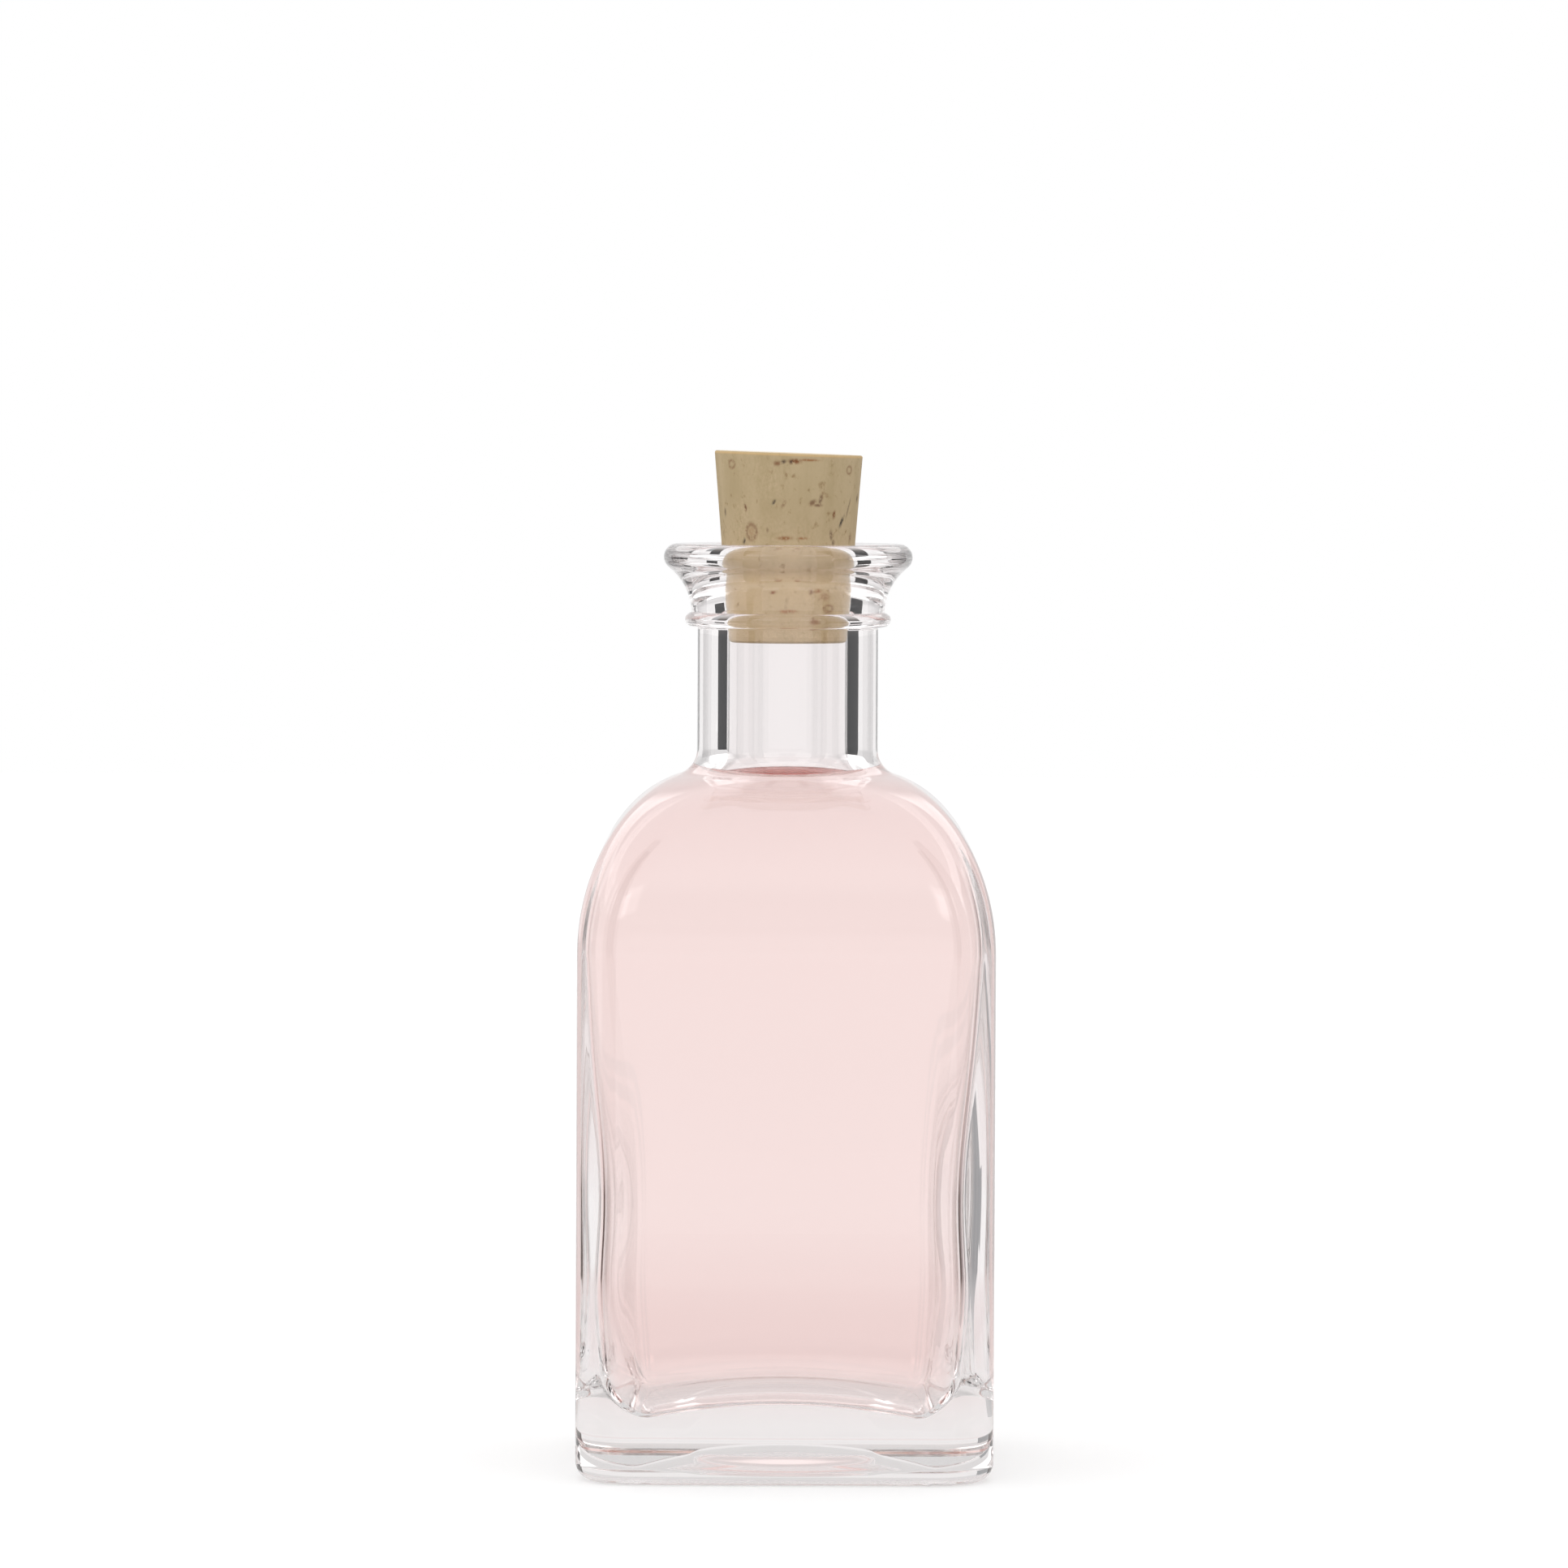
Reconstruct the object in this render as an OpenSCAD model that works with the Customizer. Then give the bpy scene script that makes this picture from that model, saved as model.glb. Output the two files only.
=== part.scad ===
// Square apothecary bottle of clear moulded glass, filled with a tinted liquid and closed by a tapered cork.
// The foot stands on z = 0, the axis is Z and the front face looks along -Y. All sizes are millimetres.

/* [Body] */
// Width of the square body across two flat faces
body_w = 48; // [42:1:56]
// Plan radius of the four upright corners
corner_r = 7.1; // [5:0.5:9]
// Radius of the rounded edge round the foot
heel_r = 2.1; // [1.6:0.1:4]
// Height at which the straight walls end and the shoulder begins
shoulder_z = 60.3; // [50:1:80]
// Height of the shoulder's elliptical arch
arch_h = 20.8; // [18:0.1:25]
// How far inside the neck's wall the arch would end
arch_tuck = 2; // [0.6:0.1:3]

/* [Neck] */
// Outside diameter of the plain neck
neck_d = 21; // [20:0.5:22]
// Radius of the hollow curve between the shoulder and the neck
root_r = 3; // [2:0.1:5]
// Height of the plain neck, from the root curve to the middle of the bead
neck_h = 15.1; // [11:0.5:22]
// Outside diameter of the bead below the lip
bead_d = 23.9; // [23.5:0.1:25]
// Radius of the bead's round section
bead_r = 0.85; // [0.8:0.05:1.3]
// Diameter at the waist between the bead and the flared lip
waist_d = 22.4; // [22.2:0.1:23]
// Radius of the hollow flare under the lip
flare_r = 7; // [6:0.1:8]
// Outside diameter of the lip
lip_d = 28.9; // [28:0.1:30]
// Radius of the lip's round edge
lip_r = 1.55; // [1.1:0.1:1.7]
// Height of the lip's top over the middle of the bead
lip_h = 8.8; // [8.2:0.05:10]

/* [Inside] */
// Diameter of the neck's plain bore
bore_d = 14; // [13.8:0.1:14.6]
// Radius of the rounded edge inside the mouth
mouth_r = 1.2; // [0.6:0.1:1.6]
// Thickness of the side walls where the shoulder begins
wall_top = 3.4; // [2.6:0.1:4]
// Thickness of the side walls just above the floor
wall_foot = 5; // [4.2:0.1:6.4]
// Thickness of the glass under the edge of the floor
floor_t = 9; // [6:0.1:11]
// Height of the low dome in the middle of the floor
dome_h = 1.5; // [0.4:0.1:2.4]
// Radius between the floor and the inside walls
floor_r = 3.6; // [2.4:0.1:4.2]
// Plan radius of the cavity's upright corners
cavity_r = 5; // [4.4:0.1:6.6]
// Thickness of the shoulder, measured upright
crown_t = 1.8; // [1.4:0.1:3]
// Radius of the inside curve between the cavity and the bore
throat_r = 6; // [4.5:0.1:8]
// How far inside the bore's wall the cavity's arch would end
throat_tuck = 1; // [0.6:0.1:2]

/* [Foot] */
// Diameter of the shallow push-up under the foot
punt_d = 37; // [28:0.5:40]
// Height of the push-up
punt_h = 2.6; // [1:0.1:3.4]

/* [Cork] */
// How much narrower the cork's lower end is than the bore, on the radius
cork_ease = 0.15; // [0.1:0.05:0.4]
// Length of the cork along its axis
cork_len = 22; // [18:0.5:28]
// Height of the cork that stands above the lip
cork_proud = 10.6; // [8:0.1:12]
// Slope of the cork's side from its axis, in degrees
cork_taper = 4.5; // [3.8:0.1:4.8]
// Radius of the worn edge round the cork's lower end
cork_edge = 0.5; // [0.2:0.1:0.8]
// Slope of the cut across the cork's top, in degrees
cork_slant = 1.9; // [0:0.1:3]

/* [Liquid] */
// Depth of the liquid's level below the top of the root curve
fill_drop = 7.9; // [5:0.1:12]

/* [Hidden] */
$fn = 96;
// Steps along each quarter corner, along the arch and along a small round edge
corner_steps = 10;
arch_steps = 16;
edge_steps = 5;
wall_steps = 6;
// Clearance between the cork and the glass, and between the liquid's solid and the glass
cork_gap = 0.06;
fill_gap = 0.1;
// How far a turned neck is drawn inside the lofted body where the two meet, and how deep it is let in
seam = 0.1;
let_in = 1;
// Overrun of every cut
cut = 1;
// How quickly a corner opens into the neck's circle, and how a wall thickens towards the foot
open_power = 1.9;
wall_power = 0.8;
// Widths of the rings that make the domed floor, as shares of the flat part's width
floor_shares = [0.25, 0.5, 0.75];
// Halvings that find where an arch meets its root curve
meet_tries = 24;

half_w = body_w / 2;
neck_r = neck_d / 2;
bore_r = bore_d / 2;
body_run = half_w - neck_r + arch_tuck;
cavity_half_w = half_w - wall_top;
cavity_run = cavity_half_w - bore_r + throat_tuck;
cavity_rise = arch_h - crown_t;

// Half width of an arch at angle t from its foot, and the slope of its wall from the upright there
function arch_w(half, run, t) = half - run * (1 - cos(t));
function arch_slope(run, rise, t) = atan2(run * sin(t), rise * cos(t));

// Angle at which an arch runs smoothly into a root curve of radius root round a neck of radius neck
function meet(half, run, rise, neck, root, low = 0, high = 90, tries = meet_tries) =
    let (t = (low + high) / 2,
         gap = arch_w(half, run, t) - neck - root * (1 - cos(arch_slope(run, rise, t))))
    tries == 0 ? t
    : gap > 0 ? meet(half, run, rise, neck, root, t, high, tries - 1)
    : meet(half, run, rise, neck, root, low, t, tries - 1);

// Where an arch that starts at height z meets its root curve: [radius, height, height of the curve's top]
function junction(half, run, rise, neck, root, z) =
    let (t = meet(half, run, rise, neck, root),
         join_z = z + rise * sin(t))
    [arch_w(half, run, t), join_z, join_z + root * sin(arch_slope(run, rise, t))];

// Stations up an arch, each [half width, corner radius, height]. The corners open into the neck's circle.
function arch_stations(half, corner, run, rise, neck, root, z) =
    let (end = meet(half, run, rise, neck, root),
         join_w = arch_w(half, run, end))
    [for (i = [0 : arch_steps])
        let (t = end * i / arch_steps,
             w = arch_w(half, run, t),
             open = pow((half - w) / (half - join_w), open_power))
        [w, corner + (join_w - seam - corner) * open, z + rise * sin(t)]];

// One ring of points: a square with round corners
function ring(station) =
    let (w = station[0], r = station[1], z = station[2])
    [for (q = [0 : 3], i = [0 : corner_steps])
        let (a = 90 * (q + i / corner_steps),
             sx = q == 0 || q == 3 ? 1 : -1,
             sy = q < 2 ? 1 : -1)
        [sx * (w - r) + r * cos(a), sy * (w - r) + r * sin(a), z]];

// A closed solid through a list of stations from the bottom up
module loft(stations) {
    n = 4 * (corner_steps + 1);
    last = len(stations) - 1;
    points = [for (s = stations) each ring(s)];
    sides = [for (k = [0 : last - 1], i = [0 : n - 1])
        let (a = k * n + i, b = k * n + (i + 1) % n)
        each [[a, a + n, b], [b, a + n, b + n]]];
    polyhedron(points, concat(sides, [[for (i = [0 : n - 1]) i], [for (i = [n - 1 : -1 : 0]) last * n + i]]));
}

// The body outside and the cavity inside share one form, with different sizes
body_join = junction(half_w, body_run, arch_h, neck_r, root_r, shoulder_z);
root_z = body_join[2];
bead_z = root_z + neck_h;
glass_h = bead_z + lip_h;
fill_z = root_z - fill_drop;

heel_stations = [for (i = [0 : edge_steps])
    let (a = 90 * i / edge_steps, inset = heel_r * (1 - sin(a)))
    [half_w - inset, corner_r - inset, heel_r * (1 - cos(a))]];

// The lip's edge and the flare are two circles that touch, and the touching point lies on the line of their centres
lip_x = lip_d / 2 - lip_r;
lip_z = glass_h - lip_r;
flare_x = waist_d / 2 + flare_r;
flare_z = lip_z - sqrt(pow(flare_r + lip_r, 2) - pow(flare_x - lip_x, 2));
touch_share = flare_r / (flare_r + lip_r);
touch_x = flare_x + (lip_x - flare_x) * touch_share;
touch_z = flare_z + (lip_z - flare_z) * touch_share;

// Half section of the turned neck, from the root curve to the lip
module neck_section() {
    difference() {
        translate([0, body_join[1] - let_in])
            square([body_join[0] - seam, root_z - body_join[1] + let_in]);
        translate([neck_r + root_r, root_z])
            circle(root_r);
    }
    translate([0, root_z - seam])
        square([neck_r, bead_z - root_z + seam]);
    translate([0, bead_z - bead_r / 2])
        square([bead_d / 2 - bead_r, bead_r]);
    translate([bead_d / 2 - bead_r, bead_z])
        circle(bead_r);
    translate([0, bead_z])
        square([waist_d / 2, touch_z - bead_z]);
    difference() {
        translate([0, flare_z])
            square([touch_x, touch_z - flare_z]);
        translate([flare_x, flare_z])
            circle(flare_r);
    }
    translate([0, touch_z - seam])
        square([lip_x, glass_h - touch_z + seam]);
    translate([lip_x, lip_z])
        circle(lip_r);
}

// The seat follows the cork's side until it is as narrow as the bore
cork_z = glass_h + cork_proud - cork_len;
cork_r = bore_r - cork_ease;
cork_slope = tan(cork_taper);
seat_r = cork_r + cork_slope * (cork_len - cork_proud) + cork_gap;
seat_z = glass_h - (seat_r - bore_r) / cork_slope;

// Stations of the cavity's floor and walls, drawn in by a gap
function floor_stations(gap) =
    let (flat_w = half_w - wall_foot - floor_r, corner = cavity_r - floor_r)
    [for (k = floor_shares) [k * flat_w, k * corner, floor_t + gap + dome_h * (1 - k * k)]];
function floor_edge_stations(gap) = [for (i = [0 : edge_steps])
    let (a = 90 * i / edge_steps, inset = (floor_r - gap) * (1 - sin(a)) + gap)
    [half_w - wall_foot - inset, cavity_r - inset, floor_t + floor_r - (floor_r - gap) * cos(a)]];
function wall_stations(gap) = [for (i = [1 : wall_steps - 1])
    let (up = i / wall_steps, wall = wall_top + (wall_foot - wall_top) * pow(1 - up, wall_power))
    [half_w - wall - gap, cavity_r - gap, floor_t + floor_r + (shoulder_z - floor_t - floor_r) * up]];

// The space inside the glass, from the floor to past the mouth, drawn in by a gap
module cavity(gap = 0) {
    half = cavity_half_w - gap;
    neck = bore_r - gap;
    rise = cavity_rise - gap;
    root = throat_r + gap;
    join = junction(half, cavity_run, rise, neck, root, shoulder_z);
    loft(concat(
        floor_stations(gap), floor_edge_stations(gap), wall_stations(gap),
        arch_stations(half, cavity_r - gap, cavity_run, rise, neck, root, shoulder_z)));
    rotate_extrude() {
        difference() {
            translate([0, join[1] - let_in])
                square([join[0] - seam, join[2] - join[1] + let_in]);
            translate([neck + root, join[2]])
                circle(root);
        }
        translate([0, join[2] - seam])
            square([neck, glass_h + cut - join[2] + seam]);
    }
}

// The tapered seat for the cork, with a rounded edge at the mouth
module seat() {
    edge_x = seat_r + mouth_r;
    rotate_extrude() {
        polygon([[0, seat_z], [bore_r, seat_z], [seat_r, glass_h], [seat_r, glass_h + cut], [0, glass_h + cut]]);
        difference() {
            translate([0, glass_h - mouth_r])
                square([edge_x, mouth_r + cut]);
            translate([edge_x, glass_h - mouth_r])
                circle(mouth_r);
            translate([edge_x - mouth_r, glass_h])
                square([2 * mouth_r, 2 * cut]);
        }
    }
}

// The shallow dome under the foot, a cap of a large sphere turned from its arc
module punt() {
    sphere_r = (pow(punt_d / 2, 2) + pow(punt_h, 2)) / (2 * punt_h);
    spread = asin(punt_d / 2 / sphere_r);
    rotate_extrude()
        polygon(concat(
            [[0, -cut], [punt_d / 2, -cut]],
            [for (i = [arch_steps : -1 : 0])
                let (a = spread * i / arch_steps)
                [sphere_r * sin(a), punt_h - sphere_r * (1 - cos(a))]]));
}

// One piece of clear moulded glass
module glass_bottle() {
    color([0.86, 0.9, 0.9, 0.4])
        difference() {
            loft(concat(heel_stations,
                arch_stations(half_w, corner_r, body_run, arch_h, neck_r, root_r, shoulder_z)));
            cavity();
            punt();
        }
    color([0.86, 0.9, 0.9, 0.4])
        difference() {
            rotate_extrude()
                neck_section();
            cavity();
            seat();
        }
}

// The tinted liquid, up to a little under the neck
module liquid_fill() {
    color([0.95, 0.75, 0.75, 0.7])
        intersection() {
            cavity(fill_gap);
            translate([-half_w, -half_w, 0])
                cube([body_w, body_w, fill_z]);
        }
}

// The cork, cut a little out of square across its top
module cork_stopper() {
    over = cork_len + cut;
    over_r = cork_r + cork_slope * over;
    color([0.72, 0.64, 0.5])
        translate([0, 0, cork_z])
        difference() {
            rotate_extrude()
                polygon(concat(
                    [[0, 0]],
                    [for (i = [0 : edge_steps])
                        let (a = 90 * i / edge_steps)
                        [cork_r - cork_edge * (1 - sin(a)), cork_edge * (1 - cos(a))]],
                    [[over_r, over], [0, over]]));
            translate([0, 0, cork_len])
                rotate([0, cork_slant, 0])
                translate([-2 * over_r, -2 * over_r, 0])
                cube([4 * over_r, 4 * over_r, 2 * over_r]);
        }
}

glass_bottle();
liquid_fill();
cork_stopper();
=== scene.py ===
"""A square apothecary bottle of clear glass, full of pale pink liquid and closed by a tapered cork."""
import math

import bpy
import numpy as np
from mathutils import Matrix, Vector


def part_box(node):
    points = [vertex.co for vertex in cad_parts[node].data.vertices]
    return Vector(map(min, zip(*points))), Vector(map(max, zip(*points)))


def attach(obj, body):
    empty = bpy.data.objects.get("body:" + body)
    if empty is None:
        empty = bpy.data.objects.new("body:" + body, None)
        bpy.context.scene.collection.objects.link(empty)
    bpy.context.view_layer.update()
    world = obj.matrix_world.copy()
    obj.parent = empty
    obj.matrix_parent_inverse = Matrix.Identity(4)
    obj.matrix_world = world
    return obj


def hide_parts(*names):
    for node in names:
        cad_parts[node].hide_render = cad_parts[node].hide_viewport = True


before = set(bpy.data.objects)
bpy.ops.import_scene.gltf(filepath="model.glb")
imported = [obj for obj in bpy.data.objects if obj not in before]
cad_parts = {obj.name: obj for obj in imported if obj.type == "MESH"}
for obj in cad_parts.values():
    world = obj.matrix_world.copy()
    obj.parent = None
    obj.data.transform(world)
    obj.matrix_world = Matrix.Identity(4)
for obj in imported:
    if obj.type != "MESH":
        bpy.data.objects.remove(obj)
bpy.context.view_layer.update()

MM = 0.001

# The outside of the glass in millimetres. Its width and height come from the frame.
bottle_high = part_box("glass_bottle")[1]
HALF_W = bottle_high.x / MM
GLASS_H = bottle_high.z / MM
CORNER_R = 7.1         # upright corners of the body
HEEL_R = 2.1           # between the foot and the sides
SHOULDER_Z = 60.3      # where the shoulders leave the upright sides
ARCH_H = 20.8          # height of the shoulders' elliptical arch up to its crown
ARCH_TUCK = 2.0        # how far inside the neck that crown would lie
OPEN_POWER = 1.9       # how late the square section opens into a circle
NECK_R = 10.5
ROOT_R = 3.0           # curve between the shoulders and the neck
BEAD_OUT = 11.95       # outermost radius of the bead
BEAD_R = 0.85
WAIST_R = 11.2         # between the bead and the flare
FLARE_R = 7.0
LIP_OUT = 14.45        # outermost radius of the lip
LIP_R = 1.55
LIP_H = 8.8            # from the middle of the bead to the top

# The foot: a shallow push-up with a pressed disc in its middle
PUNT_R = 19.0
PUNT_H = 2.6
DISC_R = 10.8
DISC_H = 0.35
DISC_EDGE = 0.25       # softness of the disc's edge

# The inside of the glass. Walls and corners change with a power of the way down from the shoulders.
BORE_R = 7.0
MOUTH_R = 1.2          # round edge of the mouth
WALL_TOP = 2.7
WALL_FOOT = 5.0
WALL_POWER = 0.8
FLOOR_T = 9.0
FLOOR_R = 3.8          # between the floor and the walls
CAVITY_TOP_R = 3.6     # upright corners at the shoulders
CAVITY_R = 4.2         # and at the floor
CROWN_T = 1.8          # glass over the crown of the cavity's arch
THROAT_R = 6.0         # curve between the cavity's arch and the bore
THROAT_TUCK = 1.0

# What blowing does to the inside: a floor that rises in its middle and sinks in its corners, a cavity
# a little off the axis, and soft rings of thicker or thinner wall, as (height, reach, depth)
DOME_H = 1.5
DOME_R = 15.0
CAVITY_SHIFT = (-0.25, 0.1)
SHIFT_FADE = 18.0
WALL_RINGS = ((36.0, 12.0, 0.6), (21.0, 7.0, -0.3))

# The liquid, drawn a little into the glass so that no air lies between them. Its surface climbs the
# glass by the sum of a wide curve and a narrow one, which takes a share of the height.
FILL_Z = 76.5
FILL_INTO_GLASS = 0.06
MENISCUS_H = 3.5
MENISCUS_RUN = 2.8
MENISCUS_LIP = 0.5
MENISCUS_LIP_SHARE = 0.3

# Points along each stretch of an outline
FOOT_STEPS = 26
FLAT_STEPS = 5
HEEL_STEPS = 16
WALL_STEPS = 20
ARCH_STEPS = 40
NECK_STEPS = 8
BEAD_STEPS = 18
FLARE_STEPS = 20
LIP_STEPS = 30
RIM_STEPS = 14
SEAT_STEPS = 8
BORE_STEPS = 12
CAVITY_WALL_STEPS = 30
FLOOR_EDGE_STEPS = 20
FLOOR_STEPS = 24
SURFACE_STEPS = 44
HALVINGS = 40

# Where a stretch keeps clear of its neighbours, in millimetres, or as shares of its way
WALL_CLEAR = 2.0
LINE_CLEAR = 0.5
BEAD_CLEAR = 0.3
AXIS_CLEAR = 0.3
FOOT_START_SHARE = 0.04
FLAT_SHARES = (0.1, 0.95)
CAVITY_WALL_SHARES = (0.02, 0.98)
FLOOR_SHARES = (0.97, 0.03)

# Points round the axis, and how much they crowd towards the round corners, and those of the liquid's
# surface towards the glass
RING_STEPS = 224
DIAGONAL_CROWDING = 0.62
SURFACE_CROWDING = 2.2


def arc(centre_x, centre_z, radius, start, end, steps):
    """Points [x, z] along a circle from the start to the end angle, in degrees from +x towards +z."""
    a = np.radians(np.linspace(start, end, steps))
    return np.stack([centre_x + radius * np.cos(a), centre_z + radius * np.sin(a)], axis=1)


def line(x0, z0, x1, z1, steps):
    """Points [x, z] evenly along a straight line, both ends included."""
    t = np.linspace(0, 1, steps)[:, None]
    return np.array([x0, z0]) * (1 - t) + np.array([x1, z1]) * t


def stations(half_width, corner, height, dome=0.0):
    """Stations [half width, corner radius, height, share of the floor's dome], one row each."""
    return np.stack(np.broadcast_arrays(half_width, corner, height, dome), axis=1)


def turned(points):
    """Stations of a turned stretch, where the corner radius is the whole radius."""
    return stations(points[:, 0], points[:, 0], points[:, 1])


def arch_width(half, run, t):
    """Half width of an elliptical arch at angle t from its foot: half - run (1 - cos t)."""
    return half - run * (1 - np.cos(t))


def arch_slope(run, rise, t):
    """Lean of the arch's wall from the upright at angle t: the tangent is run sin t / (rise cos t)."""
    return np.arctan2(run * np.sin(t), rise * np.cos(t))


def meeting(half, run, rise, neck, root):
    """Angle at which the arch runs smoothly into the curve of radius root at the neck, by halving."""
    low, high = 0.0, math.pi / 2
    for _ in range(HALVINGS):
        t = (low + high) / 2
        gap = arch_width(half, run, t) - neck - root * (1 - math.cos(arch_slope(run, rise, t)))
        low, high = (t, high) if gap > 0 else (low, t)
    return t


def shoulder(half, corner, run, rise, neck, root):
    """Stations of a shoulder: an elliptical arch whose corners open into a circle, then the root curve.

    At angle t the half width is half - run (1 - cos t), and the height over the foot of the shoulder is
    rise sin t. The corner radius grows from corner to the whole half width with a power of the share of
    the width that the arch has lost. The height of the root curve's top comes back too.
    """
    end = meeting(half, run, rise, neck, root)
    t = np.linspace(0, end, ARCH_STEPS)
    w = arch_width(half, run, t)
    opened = ((half - w) / (half - w[-1])) ** OPEN_POWER
    arch = stations(w, corner + (w[-1] - corner) * opened, SHOULDER_Z + rise * np.sin(t))
    slope = arch_slope(run, rise, end)
    root_top = SHOULDER_Z + rise * math.sin(end) + root * math.sin(slope)
    curve = arc(neck + root, root_top, root, 180 + math.degrees(slope), 180, ARCH_STEPS // 2)
    return np.concatenate([arch, turned(curve[1:])]), root_top


def outside_stations():
    """The outside of the glass from the middle of the foot to the top of the lip.

    The push-up is a parabola, with a pressed disc whose height falls off as 1 / (1 + e^x) at its edge.
    The bead, the flare and the lip are arcs, and the flare touches the lip's circle.
    """
    foot_r = np.linspace(FOOT_START_SHARE, 1, FOOT_STEPS) * PUNT_R
    dome = PUNT_H * (1 - (foot_r / PUNT_R) ** 2)
    pressed = DISC_H / (1 + np.exp((foot_r - DISC_R) / DISC_EDGE))
    foot = turned(np.stack([foot_r, dome + pressed], axis=1))
    s = np.linspace(*FLAT_SHARES, FLAT_STEPS)
    flat_w = PUNT_R + (HALF_W - HEEL_R - PUNT_R) * s
    flat = stations(flat_w, PUNT_R + (CORNER_R - HEEL_R - PUNT_R) * s, 0.0)
    heel = arc(HALF_W - HEEL_R, HEEL_R, HEEL_R, -90, 0, HEEL_STEPS)
    heel = stations(heel[:, 0], CORNER_R - HALF_W + heel[:, 0], heel[:, 1])
    wall_z = np.linspace(HEEL_R + WALL_CLEAR, SHOULDER_Z - WALL_CLEAR, WALL_STEPS)
    wall = stations(HALF_W, CORNER_R, wall_z)
    run = HALF_W - NECK_R + ARCH_TUCK
    arch, root_top = shoulder(HALF_W, CORNER_R, run, ARCH_H, NECK_R, ROOT_R)

    bead_z = GLASS_H - LIP_H
    bead_x = BEAD_OUT - BEAD_R
    under = math.degrees(math.acos((NECK_R - bead_x) / BEAD_R))
    over = math.degrees(math.acos((WAIST_R - bead_x) / BEAD_R))
    neck_top = bead_z - BEAD_R - BEAD_CLEAR
    neck = line(NECK_R, root_top + LINE_CLEAR, NECK_R, neck_top, NECK_STEPS)
    bead = arc(bead_x, bead_z, BEAD_R, -under, over, BEAD_STEPS)

    lip_x, lip_z = LIP_OUT - LIP_R, GLASS_H - LIP_R
    flare_x = WAIST_R + FLARE_R
    flare_z = lip_z - math.sqrt((FLARE_R + LIP_R) ** 2 - (flare_x - lip_x) ** 2)
    touch = math.degrees(math.atan2(lip_z - flare_z, lip_x - flare_x))
    flare = arc(flare_x, flare_z, FLARE_R, 180, touch, FLARE_STEPS)
    lip = arc(lip_x, lip_z, LIP_R, touch - 180, 90, LIP_STEPS)
    upper = turned(np.concatenate([neck, bead, flare[1:], lip[1:]]))
    return np.concatenate([foot, flat, heel, wall, arch, upper])


def cavity_stations(into_glass=0.0):
    """The inside of the glass from the top of the throat down to the middle of the floor.

    Its throat is a shoulder inside the shoulder. Down the wall the thickness and the corners go from
    their upper to their lower value with a power of the way. The height of the throat's top comes back
    too.
    """
    half = HALF_W - WALL_TOP + into_glass
    rise = ARCH_H - CROWN_T + into_glass
    run = HALF_W - WALL_TOP - BORE_R + THROAT_TUCK
    arch, throat_top = shoulder(half, CAVITY_TOP_R + into_glass, run, rise, BORE_R + into_glass,
                                THROAT_R - into_glass)
    floor_top = FLOOR_T + FLOOR_R
    down = np.linspace(*CAVITY_WALL_SHARES, CAVITY_WALL_STEPS)
    wall_w = HALF_W - WALL_TOP - (WALL_FOOT - WALL_TOP) * down ** WALL_POWER + into_glass
    wall_r = CAVITY_TOP_R + (CAVITY_R - CAVITY_TOP_R) * down ** WALL_POWER + into_glass
    wall = stations(wall_w, wall_r, SHOULDER_Z + (floor_top - SHOULDER_Z) * down)
    edge = arc(0, floor_top, FLOOR_R + into_glass, 0, -90, FLOOR_EDGE_STEPS)
    inner_w = HALF_W - WALL_FOOT - FLOOR_R
    inner_r = CAVITY_R - FLOOR_R
    sunk = (floor_top - edge[:, 1]) / FLOOR_R
    edge = stations(inner_w + edge[:, 0], inner_r + edge[:, 0], edge[:, 1], sunk)
    s = np.linspace(*FLOOR_SHARES, FLOOR_STEPS)
    floor = stations(s * inner_w, s * inner_r, FLOOR_T - into_glass, 1.0)
    return np.concatenate([arch[::-1], wall, edge, floor]), throat_top


def square_rings(path, angles):
    """Points of a square with round corners at each station, as an array [station, angle, xyz].

    At angle a the ray from the axis leaves through a flat side, at w / max(|cos a|, |sin a|), or
    through the corner circle of radius r about (w - r, w - r), at k (c + s) + sqrt(r^2 - k^2 (c - s)^2)
    with k = w - r. A dome adds DOME_H (1 - (reach / DOME_R)^2) to the height.
    """
    w, r, z, dome = (path[:, i:i + 1] for i in range(4))
    c, s = np.abs(np.cos(angles))[None, :], np.abs(np.sin(angles))[None, :]
    big, small = np.maximum(c, s), np.minimum(c, s)
    k = w - r
    through_corner = k * (c + s) + np.sqrt(np.maximum(r ** 2 - (k * (c - s)) ** 2, 0))
    reach = np.where(w * small / big <= k, w / big, through_corner)
    height = z + dome * DOME_H * (1 - (reach / DOME_R) ** 2)
    return np.stack([reach * np.cos(angles), reach * np.sin(angles), height], axis=-1)


def ring_angles():
    """Angles round the axis, crowded towards the four diagonals, where the round corners are.

    In each quarter the share s of the way becomes s + crowding sin(2 pi s) / (2 pi).
    """
    t = np.arange(RING_STEPS) / RING_STEPS * 4
    quarter, share = np.floor(t), t % 1
    return (quarter + share + DIAGONAL_CROWDING * np.sin(2 * np.pi * share) / (2 * np.pi)) * np.pi / 2


def as_blown(rings, throat_top):
    """Moves the rings of the cavity off the axis below the throat, and draws soft rings in its wall.

    The shift fades in as 3 f^2 - 2 f^3 on the way down. A soft ring is depth exp(-(dz / reach)^2).
    """
    z = rings[..., 2:]
    fade = np.clip((throat_top - z) / SHIFT_FADE, 0, 1)
    fade = fade * fade * (3 - 2 * fade)
    depth = sum(d * np.exp(-((z - height) / reach) ** 2) for height, reach, d in WALL_RINGS)
    flat = rings[..., :2]
    flat = flat - depth * flat / np.maximum(np.abs(flat).max(axis=-1, keepdims=True), 1)
    return np.concatenate([flat + fade * np.array(CAVITY_SHIFT), z], axis=-1)


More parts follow.
